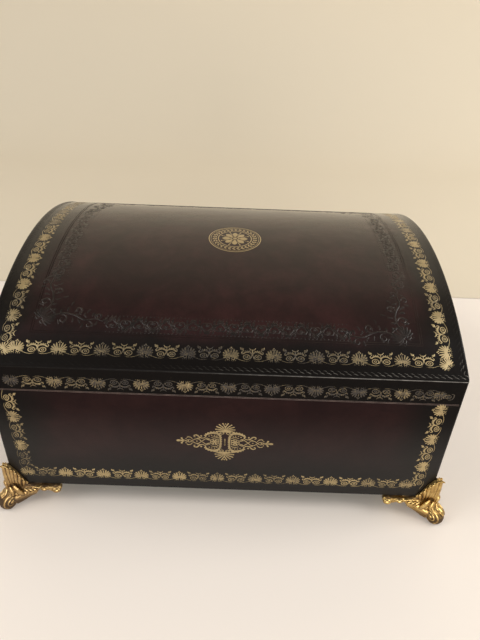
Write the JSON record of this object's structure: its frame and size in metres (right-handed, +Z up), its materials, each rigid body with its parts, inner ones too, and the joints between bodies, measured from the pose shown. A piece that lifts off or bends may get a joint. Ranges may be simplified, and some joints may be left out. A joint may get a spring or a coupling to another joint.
{
  "type": "leather casket",
  "caption": "Leather-covered wooden casket with a vaulted lid on butt hinges, gilt tooled borders, a lined interior and cast brass acanthus corner feet",
  "frame": {"origin": "on the supporting surface, under the middle of the casket", "axes": "+X to the casket's right as seen from its front, +Y to the back with the hinges, +Z up"},
  "size_m": [0.3586, 0.2936, 0.1739],
  "materials": {
    "leather": "dark brown tooled calf, waxed, with gilt and blind tooling",
    "gilt_brass": "cast gilt brass with darker hollows",
    "hinge_brass": "drawn brass, lightly brushed",
    "carcase_wood": "planed softwood, hidden under leather and lining",
    "lining": "deep red watered silk",
    "baize": "green baize"
  },
  "bodies": {
    "base": {"base_front_board": "carcase_wood", "base_back_board": "carcase_wood", "base_left_board": "carcase_wood", "base_right_board": "carcase_wood", "base_bottom_board": "carcase_wood", "base_leather": "leather", "underside_baize": "baize", "liner_front": "lining", "liner_back": "lining", "liner_left": "lining", "liner_right": "lining", "floor_lining": "lining", "foot_front_left": "gilt_brass", "foot_front_right": "gilt_brass", "foot_back_right": "gilt_brass", "foot_back_left": "gilt_brass", "foot_screws": "hinge_brass", "left_hinge_lower_leaf": "hinge_brass", "right_hinge_lower_leaf": "hinge_brass", "left_hinge_pin": "hinge_brass", "right_hinge_pin": "hinge_brass", "lower_hinge_screws": "hinge_brass"},
    "lid": {"lid_front_rail": "carcase_wood", "lid_back_rail": "carcase_wood", "lid_left_end": "carcase_wood", "lid_right_end": "carcase_wood", "lid_vault_board": "carcase_wood", "lid_side_leather": "leather", "lid_top_leather": "leather", "lid_lining_vault": "lining", "lid_lining_front": "lining", "lid_lining_back": "lining", "lid_lining_left": "lining", "lid_lining_right": "lining", "left_hinge_upper_leaf": "hinge_brass", "right_hinge_upper_leaf": "hinge_brass", "upper_hinge_screws": "hinge_brass"}
  },
  "joints": [
    {"name": "lid_hinge", "type": "hinge", "parent": "base", "child": "lid", "pos_m": [0, 0.129, 0.11855], "axis": [-1, 0, 0], "range_deg": [0, 100]}
  ]
}
